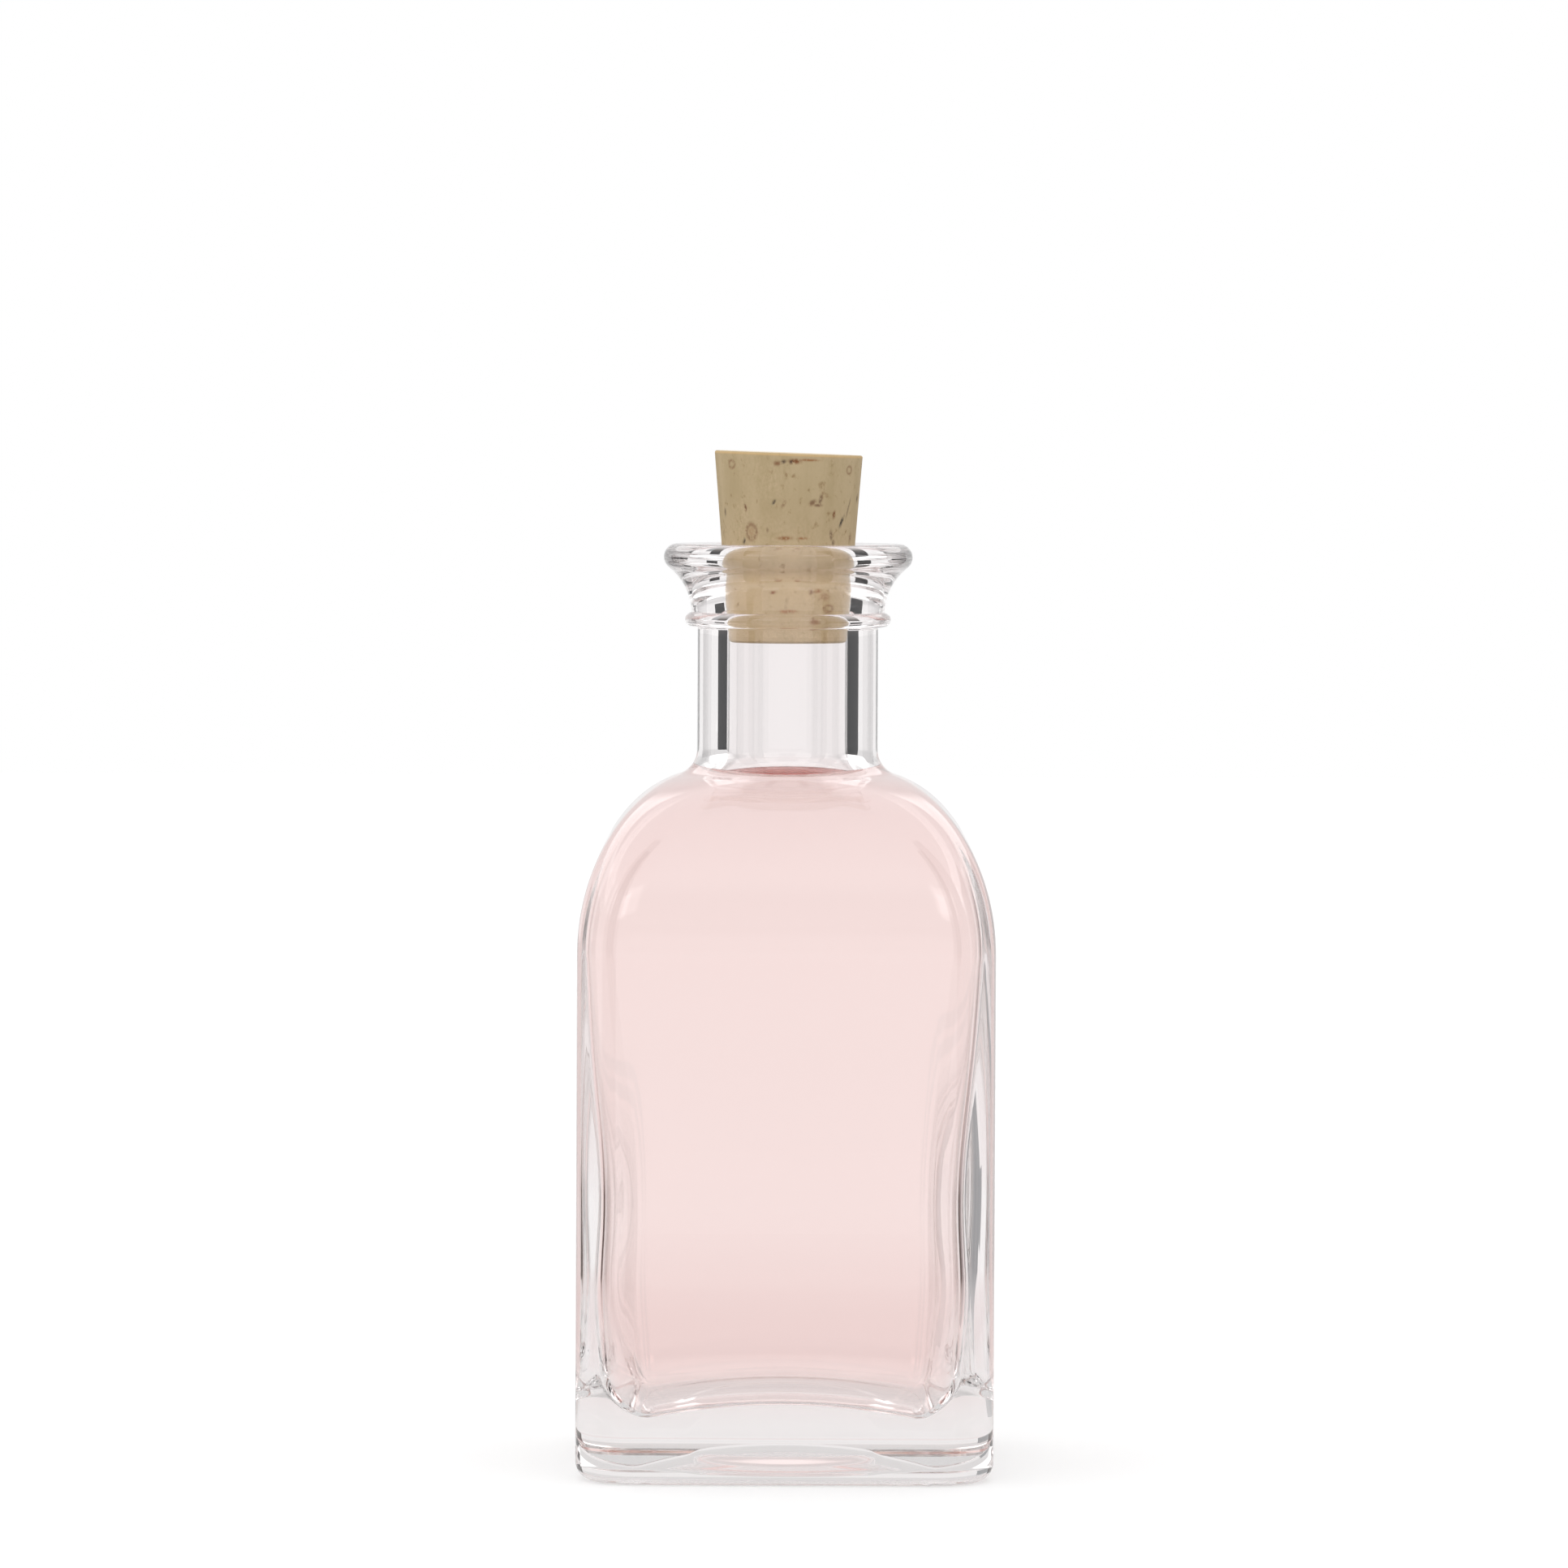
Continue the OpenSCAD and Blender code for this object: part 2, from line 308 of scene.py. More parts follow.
def closed_surface(name, rings, attributes=None):
    """A mesh through rings of points, with a point on the axis closing each end and its faces outwards.

    An attribute has a value for each point of the rings, and the end points take their neighbours'.
    """
    count, steps = rings.shape[:2]
    ends = [rings[0].mean(axis=0), rings[-1].mean(axis=0)]
    points = np.concatenate([rings.reshape(-1, 3), ends]) * MM
    i = np.arange(count - 1)[:, None] * steps
    j = np.arange(steps)[None, :]
    after = (j + 1) % steps
    quads = np.stack([i + j, i + after, i + steps + after, i + steps + j], axis=-1).reshape(-1, 4)
    around = np.arange(steps)
    first = np.stack([np.full(steps, count * steps), (around + 1) % steps, around], axis=1)
    base = (count - 1) * steps
    last = np.stack([np.full(steps, count * steps + 1), base + around, base + (around + 1) % steps],
                    axis=1)
    a, b, c = points[quads[:, 0]], points[quads[:, 1]], points[quads[:, 2]]
    if np.einsum("ij,ij->i", a, np.cross(b, c)).sum() < 0:
        quads, first, last = quads[:, ::-1], first[:, ::-1], last[:, ::-1]
    mesh = bpy.data.meshes.new(name)
    mesh.from_pydata(points.tolist(), [], quads.tolist() + first.tolist() + last.tolist())
    for key, values in (attributes or {}).items():
        layer = mesh.attributes.new(key, "FLOAT", "POINT")
        flat = values.reshape(-1)
        layer.data.foreach_set("value", np.append(flat, [flat[0], flat[-1]]).astype(np.float32))
    mesh.shade_smooth()
    piece = bpy.data.objects.new(name, mesh)
    bpy.context.scene.collection.objects.link(piece)
    return piece


def linear(hex_colour):
    """An sRGB hex colour as linear red, green, blue and alpha, by the sRGB curve."""
    srgb = np.array([int(hex_colour[i:i + 2], 16) for i in (1, 3, 5)]) / 255
    low, high = srgb / 12.92, ((srgb + 0.055) / 1.055) ** 2.4
    return (*np.where(srgb <= 0.04045, low, high).tolist(), 1.0)


def add_node(tree, kind, settings=None, inputs=None):
    """Adds a node, sets its properties, and gives each input a hex colour, another value, or the
    (node, output) that it follows.
    """
    node = tree.nodes.new(kind)
    for key, value in (settings or {}).items():
        setattr(node, key, value)
    for key, value in (inputs or {}).items():
        if isinstance(value, tuple) and isinstance(value[0], bpy.types.Node):
            tree.links.new(value[0].outputs[value[1]], node.inputs[key])
        else:
            node.inputs[key].default_value = linear(value) if isinstance(value, str) else value
    return node


def new_material(name):
    """A material and its node tree, still empty."""
    material = bpy.data.materials.new(name)
    material.use_nodes = True
    material.node_tree.nodes.clear()
    return material, material.node_tree


def set_stops(ramp, stops):
    """Gives a colour ramp its stops, each (position, colour) in rising order."""
    for number, (position, colour) in enumerate(stops):
        stop = ramp.elements[number] if number < 2 else ramp.elements.new(position)
        stop.position = position
        stop.color = colour


def layer_over(tree, under, over, shares):
    """Lays one colour over another, as much of it as the product of its shares.

    A colour is a hex colour or the (node, output) that gives it, and a share is a (node, output). The
    colours of a Mix node are its inputs 6 and 7, and their mixture is its output 2.
    """
    cover = shares[0]
    for share in shares[1:]:
        cover = (add_node(tree, "ShaderNodeMath", {"operation": "MULTIPLY"}, {0: cover, 1: share}), 0)
    return add_node(tree, "ShaderNodeMix", {"data_type": "RGBA"}, {0: cover, 6: under, 7: over}), 2


def soda_lime_glass():
    """Soda-lime glass, blown in a mould and fire polished: clear, with a painted breath of rose that
    stands in for the light of the liquid it holds, and faintly grey in a thick foot.
    """
    material, tree = new_material("soda_lime_glass")
    # The faint rose of the Base Color is painted light from the liquid inside, not a tint of the glass
    shader = add_node(tree, "ShaderNodeBsdfPrincipled", inputs={
        "Base Color": "#FFFCFC", "Roughness": 0.0, "IOR": 1.52, "Transmission Weight": 1.0})
    depth = add_node(tree, "ShaderNodeVolumeAbsorption", inputs={"Color": "#DCD8D6", "Density": 4.0})
    add_node(tree, "ShaderNodeOutputMaterial", inputs={"Surface": (shader, 0), "Volume": (depth, 0)})
    return material


def rose_water():
    """Rose water: water with a pale pink tint that deepens with the light's way through it.

    Its open surface is a deeper rose for the light that has come up through the whole
    depth.
    """
    material, tree = new_material("rose_water")
    open_surface = add_node(tree, "ShaderNodeAttribute", {"attribute_name": "open_surface"})
    colour = layer_over(tree, "#FFFFFF", "#D98A84", [(open_surface, "Fac")])
    shader = add_node(tree, "ShaderNodeBsdfPrincipled", inputs={
        "Base Color": colour, "Roughness": 0.0, "IOR": 1.34, "Transmission Weight": 1.0})
    depth = add_node(tree, "ShaderNodeVolumeAbsorption", inputs={"Color": "#F4C0B3", "Density": 10.0})
    add_node(tree, "ShaderNodeOutputMaterial", inputs={"Surface": (shader, 0), "Volume": (depth, 0)})
    return material


# The cork's patterns, each as (cells per millimetre along x, y and z, detail, the noise that counts as
# none, the noise that counts as all). Growth streaks are about 2 mm wide and 20 mm tall, clouds 4 mm,
# flecks 0.8 mm, the grain 0.3 mm, and pores are torn at 0.25 mm.
CORK_PATTERNS = {
    "streak": ((0.55, 0.55, 0.05), 3.0, 0.35, 0.65),
    "cloud": ((0.25, 0.25, 0.2), 2.0, 0.3, 0.7),
    "grain": ((3.2, 3.2, 2.4), 4.0, 0.3, 0.7),
    "fleck": ((1.3, 1.3, 0.9), 5.0, 0.60, 0.72),
    "torn": ((4.0, 4.0, 3.0), 3.0, 0.28, 0.5),
}
GRAIN_DEPTH = 0.05


def noise(tree, place, cells, detail, none, full):
    """Noise with so many cells per millimetre along each axis, as a share from none to full."""
    scaled = add_node(tree, "ShaderNodeVectorMath", {"operation": "MULTIPLY"},
                      {0: (place, "Object"), 1: tuple(count / MM for count in cells)})
    field = add_node(tree, "ShaderNodeTexNoise",
                     inputs={"Vector": (scaled, 0), "Scale": 1.0, "Detail": detail})
    return add_node(tree, "ShaderNodeMapRange",
                    inputs={"Value": (field, 0), "From Min": none, "From Max": full}), 0


def natural_cork():
    """Natural cork, punched from the bark and sanded: tan, with faint upright growth streaks, brown
    flecks, and dark pores and rusty stains where the mesh carries them. The sawn top is paler, with a
    warm painted highlight round its upper edge.
    """
    material, tree = new_material("natural_cork")
    place = add_node(tree, "ShaderNodeTexCoord")
    streak, cloud, grain, fleck, torn = (noise(tree, place, *CORK_PATTERNS[name])
                                         for name in ("streak", "cloud", "grain", "fleck", "torn"))
    dark, rust, sawn, rim = ((add_node(tree, "ShaderNodeAttribute", {"attribute_name": name}), "Fac")
                             for name in ("dark", "rust", "sawn", "rim"))
    side = layer_over(tree, "#BBA680", "#C6B18C", [streak])
    side = layer_over(tree, side, "#CDB793", [cloud, grain])
    side = layer_over(tree, side, "#94744C", [fleck, grain])
    side = layer_over(tree, side, "#9A5F33", [rust, torn])
    side = layer_over(tree, side, "#453E3A", [dark, torn])
    top = layer_over(tree, "#F1E4CE", "#C9A578", [fleck, grain])
    both = layer_over(tree, side, top, [sawn])
    # A painted highlight: a warm, lighter band round the cork's upper edge, carried by the rim
    # attribute
    colour = layer_over(tree, both, "#DDB983", [rim])
    bump = add_node(tree, "ShaderNodeBump",
                    inputs={"Height": grain, "Strength": 0.35, "Distance": GRAIN_DEPTH * MM})
    shader = add_node(tree, "ShaderNodeBsdfPrincipled", inputs={
        "Base Color": colour, "Roughness": 0.85, "Specular IOR Level": 0.3, "Normal": (bump, 0)})
    add_node(tree, "ShaderNodeOutputMaterial", inputs={"Surface": (shader, 0)})
    return material


# The cork in millimetres and degrees. Its height comes from the frame.
cork_low, cork_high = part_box("cork_stopper")
CORK_Z = cork_low.z / MM
CORK_H = (cork_high.z - cork_low.z) / MM
CORK_TAPER = math.radians(4.5)     # lean of its side
CORK_SLANT = math.radians(1.9)     # lean of its top, cut out of square
SLANT_POWER = 3
CORK_GAP = 0.06                    # clearance in the seat
CORK_END_R = 6.85                  # lower end
CORK_EDGE_R = 0.5                  # worn lower edge
END_CLEAR = 0.1                    # from that edge to the nearest ring of the end
TOP_EDGE_R = 0.25                  # upper edge
TOP_EDGE_START = 10                # where its arc starts
TOP_DROP = 0.05                    # from the frame's height to the flat top
TOP_CLEAR = 0.4                    # from the side to the nearest ring of the top
PORE_DEPTH = 0.12                  # of the darkest pore
HIGHLIGHT_DOWN = 0.25                    # the painted highlight round the upper edge: its middle under the top,
HIGHLIGHT_WIDTH = 0.12                   # its width,
HIGHLIGHT_IN = 0.3                       # its reach in from the side
HIGHLIGHT_SHARE = 0.7                    # and its strength

# Points round the cork and along each stretch of its outline
CORK_STEPS = 400
CORK_END_STEPS = 12
CORK_EDGE_STEPS = 8
CORK_SIDE_STEPS = 176
TOP_EDGE_STEPS = 6
CORK_TOP_STEPS = 24

# Marks on the cork's side: degrees round from the front, height over the lower end, half width
# and half height, lean in degrees, darkness and rust
CORK_MARKS = (
    (5, 21.3, 0.7, 0.3, 0, 0.3, 1.0),
    (2, 21.2, 0.22, 0.25, 20, 0.9, 0.8),
    (-4, 21.2, 0.3, 0.22, -20, 0.8, 0.3),
    (-9, 21.0, 0.45, 0.3, 0, 0.3, 0.7),
    (16, 21.5, 1.2, 0.14, 0, 0.0, 0.9),
    (-12, 16.4, 0.3, 0.16, -60, 1.0, 0.0),
    (-38, 15.7, 0.18, 0.45, -12, 0.5, 0.8),
    (-4, 16.2, 0.2, 0.5, 25, 0.25, 0.4),
    (20, 16.4, 0.45, 0.3, -35, 0.45, 0.6),
    (27, 16.8, 0.2, 0.6, 12, 0.55, 0.5),
    (25, 16.1, 0.5, 0.16, 0, 0.5, 0.6),
    (41, 15.0, 0.2, 0.45, 10, 0.4, 1.0),
    (51, 14.2, 0.24, 0.75, 28, 1.0, 0.1),
    (59, 15.8, 0.14, 1.3, 18, 0.5, 0.2),
    (77, 17.0, 0.3, 0.5, 10, 0.8, 0.1),
    (39, 12.6, 0.2, 0.6, -8, 0.55, 0.4),
    (42, 11.7, 0.2, 0.3, 0, 0.6, 0.3),
    (-33, 12.9, 0.5, 0.7, 20, 0.0, 0.35),
    (-41, 11.8, 0.16, 0.35, 20, 1.0, 0.0),
    (-3, 12.2, 0.85, 0.22, 0, 0.1, 0.85),
    (12, 12.2, 0.6, 0.15, 0, 0.0, 0.8),
    (66, 12.3, 0.3, 0.5, 0, 0.3, 0.4),
    (-66, 15.1, 0.2, 0.5, 0, 0.7, 0.1),
    (-18, 13.1, 0.15, 0.3, 0, 0.3, 0.3),
    (-12, 6.6, 0.3, 0.25, 0, 0.2, 1.0),
    (18, 6.7, 0.2, 0.4, 0, 0.3, 0.7),
    (24, 6.9, 0.35, 0.3, 0, 0.1, 0.8),
    (30, 6.0, 0.6, 0.6, 0, 0.1, 0.4),
    (0, 3.9, 1.0, 0.2, 0, 0.0, 0.8),
    (22, 2.5, 0.5, 0.4, 0, 0.1, 0.7),
    (-7, 8.6, 0.25, 0.2, 0, 0.1, 0.9),
    (7, 8.6, 0.25, 0.2, 0, 0.1, 0.9),
)
MARK_POWER = 1.5
FAR = 50               # squared distance past which a mark has long faded

# Seeded marks for the sides and the back: how many, and the range of each of a mark's values
STRAY_SEED = 11
STRAY_COUNT = 46
STRAY_RANGES = ((80, 280), (0.5, 21), (0.12, 0.5), (0.15, 0.7), (-35, 35), (0, 0.9), (0.1, 0.9))

# Faint rings on the side: degrees round, height, half width, half height
CORK_RINGS = (
    (-51, 20.7, 0.5, 0.45),
    (56, 20.4, 0.45, 0.45),
    (-33, 12.9, 0.65, 0.85),
    (34, 4.3, 0.5, 0.45),
)
RING_WIDTH = 0.3
RING_DARK = 0.25
RING_RUST = 0.5


def stray_marks():
    """Small marks like the others, drawn at random from their ranges with a fixed seed."""
    rng = np.random.default_rng(STRAY_SEED)
    marks = np.stack([rng.uniform(low, high, STRAY_COUNT) for low, high in STRAY_RANGES], axis=1)
    return tuple(tuple(mark) for mark in marks.tolist())


def round_from(angle, start, radius):
    """Millimetres round the cork from a start angle, both angles in degrees, the short way round."""
    return np.radians((angle - start + 180) % 360 - 180) * radius


def cork_marks(angle, up, radius):
    """Darkness and rust of the cork's side at angles in degrees from the front and heights in mm.

    A mark is exp(-q^1.5) times its strengths, where q is the squared distance from its middle in its
    own half sizes. A ring is exp(-((sqrt(q) - 1) / width)^2) in the same way. The strongest counts.
    """
    dark, rust = np.zeros(angle.shape), np.zeros(angle.shape)
    for start, height, half_w, half_h, lean, darkness, rusty in CORK_MARKS + stray_marks():
        across = round_from(angle, start, radius)
        along = up - height
        c, s = math.cos(math.radians(lean)), math.sin(math.radians(lean))
        q = ((across * c - along * s) / half_w) ** 2 + ((across * s + along * c) / half_h) ** 2
        spot = np.exp(-np.minimum(q, FAR) ** MARK_POWER)
        dark, rust = np.maximum(dark, darkness * spot), np.maximum(rust, rusty * spot)
    for start, height, half_w, half_h in CORK_RINGS:
        distance = np.hypot(round_from(angle, start, radius) / half_w, (up - height) / half_h)
        ring = np.exp(-((distance - 1) / RING_WIDTH) ** 2)
        dark, rust = np.maximum(dark, RING_DARK * ring), np.maximum(rust, RING_RUST * ring)
    return dark, rust


def make_cork():
    """The cork: a cone frustum with a worn lower edge, cut a little out of square across its top.

    Pores draw the side in by their darkness. The slant lowers each point by the third power of its
    share of the height, times its distance from the high side.
    """
    cork_top = CORK_Z + CORK_H
    end_r = CORK_END_R - CORK_EDGE_R
    end = line(AXIS_CLEAR, CORK_Z, end_r - END_CLEAR, CORK_Z, CORK_END_STEPS)
    edge = arc(end_r, CORK_Z + CORK_EDGE_R, CORK_EDGE_R, -90, 0, CORK_EDGE_STEPS)
    side_z = np.linspace(CORK_EDGE_R, CORK_H - TOP_DROP - TOP_EDGE_R, CORK_SIDE_STEPS)
    side = np.stack([CORK_END_R + math.tan(CORK_TAPER) * side_z, CORK_Z + side_z], axis=1)
    top_r = side[-1, 0]
    top_edge = arc(top_r - TOP_EDGE_R, cork_top - TOP_DROP - TOP_EDGE_R, TOP_EDGE_R,
                   TOP_EDGE_START, 90, TOP_EDGE_STEPS)
    top = line(top_r - TOP_CLEAR, cork_top - TOP_DROP, AXIS_CLEAR, cork_top - TOP_DROP, CORK_TOP_STEPS)
    profile = np.concatenate([end, edge, side[1:], top_edge, top])
    turn = np.arange(CORK_STEPS) / CORK_STEPS * 2 * np.pi
    rings = square_rings(turned(profile), turn)

    up = np.broadcast_to(profile[:, 1:] - CORK_Z, rings.shape[:2])
    reach = np.broadcast_to(profile[:, :1], rings.shape[:2])
    number = np.arange(len(profile))
    on_side = (number >= len(end)) & (number < len(profile) - len(top))
    dark, rust = cork_marks(np.degrees(turn)[None, :] + 90, up, reach)
    dark, rust = dark * on_side[:, None], rust * on_side[:, None]
    rings[..., :2] *= 1 - PORE_DEPTH * (dark / np.maximum(reach, 1))[..., None]
    sawn = number >= len(profile) - len(top)
    # rim: a painted highlight in a band round the upper edge, just under the top
    rim = np.exp(-((profile[:, 1] - cork_top + HIGHLIGHT_DOWN) / HIGHLIGHT_WIDTH) ** 2)
    rim *= (profile[:, 0] > top_r - HIGHLIGHT_IN) * HIGHLIGHT_SHARE
    spread = {"dark": dark, "rust": rust, "sawn": np.broadcast_to(sawn[:, None], up.shape),
              "rim": np.broadcast_to(rim[:, None], up.shape)}

    slant = np.clip(up / CORK_H, 0, 1) ** SLANT_POWER
    rings[..., 2] -= slant * (rings[..., 0] + top_r) * math.tan(CORK_SLANT)
    cork = closed_surface("cork_body", rings, spread)
    cork.data.materials.append(natural_cork())
    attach(cork, "cork")
    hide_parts("cork_stopper")


def mouth_stations(throat_top):
    """The inside of the mouth from the top of the lip down to the throat.

    A round edge leads into the seat, which has the cork's own taper and clearance, and then into the
    plain bore.
    """
    seat_r = CORK_END_R + math.tan(CORK_TAPER) * (GLASS_H - CORK_Z) + CORK_GAP
    seat_z = GLASS_H - (seat_r - BORE_R) / math.tan(CORK_TAPER)
    rim = arc(seat_r + MOUTH_R, GLASS_H - MOUTH_R, MOUTH_R, 90, 180, RIM_STEPS)
    rim[:, 0] -= math.tan(CORK_TAPER) * (GLASS_H - rim[:, 1])
    seat = line(rim[-1, 0], rim[-1, 1], BORE_R, seat_z, SEAT_STEPS)
    bore = line(BORE_R, seat_z - LINE_CLEAR, BORE_R, throat_top + LINE_CLEAR, BORE_STEPS)
    return turned(np.concatenate([rim, seat[1:], bore]))


def make_bottle():
    """The glass as one closed skin: up the outside from the foot, over the lip, down the inside to the
    floor.
    """
    cavity, throat_top = cavity_stations()
    angles = ring_angles()
    outside = np.concatenate([outside_stations(), mouth_stations(throat_top)[1:]])
    inside = as_blown(square_rings(cavity[1:], angles), throat_top)
    bottle = closed_surface("bottle_glass", np.concatenate([square_rings(outside, angles), inside]))
    bottle.data.materials.append(soda_lime_glass())
    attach(bottle, "bottle")
    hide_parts("glass_bottle")


def make_liquid():
    """The liquid: the cavity up to its level, with a meniscus that climbs the glass.

    At a distance a from the glass the surface stands higher by the sum of two parts of MENISCUS_H,
    which fall off as exp(-a / MENISCUS_RUN) and exp(-a / MENISCUS_LIP).
    """
    path, throat_top = cavity_stations(FILL_INTO_GLASS)
    top = FILL_Z + MENISCUS_H
    edge = int((path[:, 2] > top).sum())
    share = (path[edge - 1, 2] - top) / (path[edge - 1, 2] - path[edge, 2])
    rim = path[edge - 1] * (1 - share) + path[edge] * share
    away = (rim[0] - AXIS_CLEAR) * np.linspace(0, 1, SURFACE_STEPS) ** SURFACE_CROWDING
    climb = ((1 - MENISCUS_LIP_SHARE) * np.exp(-away / MENISCUS_RUN)
             + MENISCUS_LIP_SHARE * np.exp(-away / MENISCUS_LIP))
    surface = stations(rim[0] - away, rim[1] - away * rim[1] / rim[0], FILL_Z + MENISCUS_H * climb)
    rings = square_rings(np.concatenate([surface[::-1], path[edge:]]), ring_angles())
    is_open = np.repeat([1.0, 0.0], [len(surface), len(rings) - len(surface)])[:, None]
    spread = {"open_surface": np.broadcast_to(is_open, rings.shape[:2])}
    liquid = closed_surface("rose_water_fill", as_blown(rings, throat_top), spread)
    liquid.data.materials.append(rose_water())
    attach(liquid, "bottle")
    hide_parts("liquid_fill")


# The floor, in metres. Its glow as seen through the glass has a level and a colour by the distance
# from the bottle's axis: rosy in a ring where light falls through the bottle. In view it is lifted to
# white.
FLOOR_HALF_W = 1.8
FLOOR_GLOW = 0.385
FLOOR_GLOW_RINGS = ((0.05, "#FFFFFF"), (0.09, "#E4CECD"), (0.15, "#EAD9D8"), (0.36, "#FFFFFF"))
FLOOR_LIFT = 0.50


def white_paper_sweep():
    """White paper, matt: it keeps the object's shadow, renders white in view, and glows a little where
    it is seen through the glass.
    """
    material, tree = new_material("white_paper_sweep")
    paper = add_node(tree, "ShaderNodeBsdfDiffuse", inputs={"Color": "#CBCBCB"})
    path = add_node(tree, "ShaderNodeLightPath")
    glass = add_node(tree, "ShaderNodeMath", {"operation": "MAXIMUM"},
                     {0: (path, "Is Glossy Ray"), 1: (path, "Is Transmission Ray")})
    level = add_node(tree, "ShaderNodeMath", {"operation": "MULTIPLY"}, {0: (glass, 0), 1: FLOOR_GLOW})
    place = add_node(tree, "ShaderNodeTexCoord")
    away = add_node(tree, "ShaderNodeVectorMath", {"operation": "LENGTH"}, {0: (place, "Object")})
    rings = add_node(tree, "ShaderNodeValToRGB", inputs={0: (away, "Value")})
    set_stops(rings.color_ramp, [(distance, linear(colour)) for distance, colour in FLOOR_GLOW_RINGS])
    behind = add_node(tree, "ShaderNodeEmission", inputs={"Color": (rings, 0), "Strength": (level, 0)})
    lift = add_node(tree, "ShaderNodeMath", {"operation": "MULTIPLY"},
                    {0: (path, "Is Camera Ray"), 1: FLOOR_LIFT})
    bare = add_node(tree, "ShaderNodeEmission", inputs={"Color": "#FFFFFF", "Strength": (lift, 0)})
    glow = add_node(tree, "ShaderNodeAddShader", inputs={0: (behind, 0), 1: (bare, 0)})
    both = add_node(tree, "ShaderNodeAddShader", inputs={0: (paper, 0), 1: (glow, 0)})
    add_node(tree, "ShaderNodeOutputMaterial", inputs={"Surface": (both, 0)})
    return material


def make_floor():
    """A wide, flat floor of white paper."""
    w = FLOOR_HALF_W
    mesh = bpy.data.meshes.new("studio_floor")
    mesh.from_pydata([(-w, -w, 0), (w, -w, 0), (w, w, 0), (-w, w, 0)], [], [(0, 1, 2, 3)])
    mesh.materials.append(white_paper_sweep())
    floor = bpy.data.objects.new("studio_floor", mesh)
    bpy.context.scene.collection.objects.link(floor)


# Cloths that stand off to the sides, in metres, each as (name, shades, start, end, height) with
# directions in degrees from straight behind. The foot of each lies on the floor towards the bottle. The
# shades are those of the end near the bottle, of the corner at the floor, and of the cloth above its
# lowest part.
BLACK = ("#E6E2E0", "#6A6460", "#0E1013")
GREY = ("#CFD0D1", "#9EA0A2", "#9EA0A2")
CLOTHS = (("black_flag_0", BLACK, 40, 70, 0.18), ("black_flag_1", BLACK, -67, -43, 0.13),
          ("black_flag_2", BLACK, 112, 138, 0.7), ("black_flag_3", BLACK, -138, -112, 0.7),
          ("grey_board", GREY, -43, -24, 0.055))
CLOTH_SHARES = (0.0, 0.5, 1.0, 1.0)
CLOTH_DISTANCE = 0.28
CLOTH_LIFT = 0.0003
FOOT_REACH = 0.05
FOLD = 0.075


def cloth(name, shades):
    """Cloth or board as glass shows it: even shades along it, without light or shadow.

    Matt surfaces behind glass see through it, so that they lose no light.
    """
    material, tree = new_material(name)
    along = add_node(tree, "ShaderNodeAttribute", {"attribute_name": "along"})
    colour = add_node(tree, "ShaderNodeValToRGB", inputs={0: (along, "Fac")})
    set_stops(colour.color_ramp, [(share, linear(shade)) for share, shade in zip(CLOTH_SHARES, shades)])
    face = add_node(tree, "ShaderNodeEmission", inputs={"Color": (colour, 0), "Strength": 1.0})
    path = add_node(tree, "ShaderNodeLightPath")
    clear = add_node(tree, "ShaderNodeBsdfTransparent")
    both = add_node(tree, "ShaderNodeMixShader",
                    inputs={0: (path, "Diffuse Depth"), 1: (face, 0), 2: (clear, 0)})
    add_node(tree, "ShaderNodeOutputMaterial", inputs={"Surface": (both, 0)})
    return material


def make_cloths():
    """Dark flags and a low grey board off to the sides, seen only in the glass, to draw its edges."""
    materials = {BLACK: cloth("black_flag_cloth", BLACK), GREY: cloth("grey_board", GREY)}
    for name, shades, start, end, height in CLOTHS:
        ends = np.radians([start, end])[:, None]
        reach = np.array([FOOT_REACH, CLOTH_DISTANCE, CLOTH_DISTANCE, CLOTH_DISTANCE])
        z = np.array([CLOTH_LIFT, CLOTH_LIFT, min(FOLD, height), height])
        points = np.stack(np.broadcast_arrays(np.sin(ends) * reach, np.cos(ends) * reach, z), axis=-1)
        mesh = bpy.data.meshes.new(name)
        mesh.from_pydata(points.reshape(-1, 3).tolist(), [], [(0, 1, 5, 4), (1, 2, 6, 5), (2, 3, 7, 6)])
        along = mesh.attributes.new("along", "FLOAT", "POINT")
        along.data.foreach_set("value", np.array(CLOTH_SHARES * 2, dtype=np.float32))
        mesh.materials.append(materials[shades])
        piece = bpy.data.objects.new(name, mesh)
        bpy.context.scene.collection.objects.link(piece)
        piece.visible_camera = False
        piece.visible_diffuse = False
        piece.visible_shadow = False


# The light that glass shows, by the sine of its height, as (sine, level)
SKY = ((0.12, 0.9), (0.17, 0.75), (0.50, 0.75), (0.66, 1.1))
# The soft boxes: where they start and are full aside of straight ahead, as shares of the diagonal,
# where they start and end in height, as sines, and how much brighter than the rest they are
BOX_ASIDE = (0.35, 0.6)
BOX_RISE = (0.34, 0.38)
BOX_FALL = (0.58, 0.62)
BOX_LEVEL = 1.5
# The light on matt surfaces: its level, how much it leans and towards what, and what those behind glass
# get on top
SOFT_LEVEL = 0.84
SOFT_LEAN = 0.45
LEAN_TOWARDS = (-0.35, -0.45, 0.5)
BEHIND_GLASS = 1.3


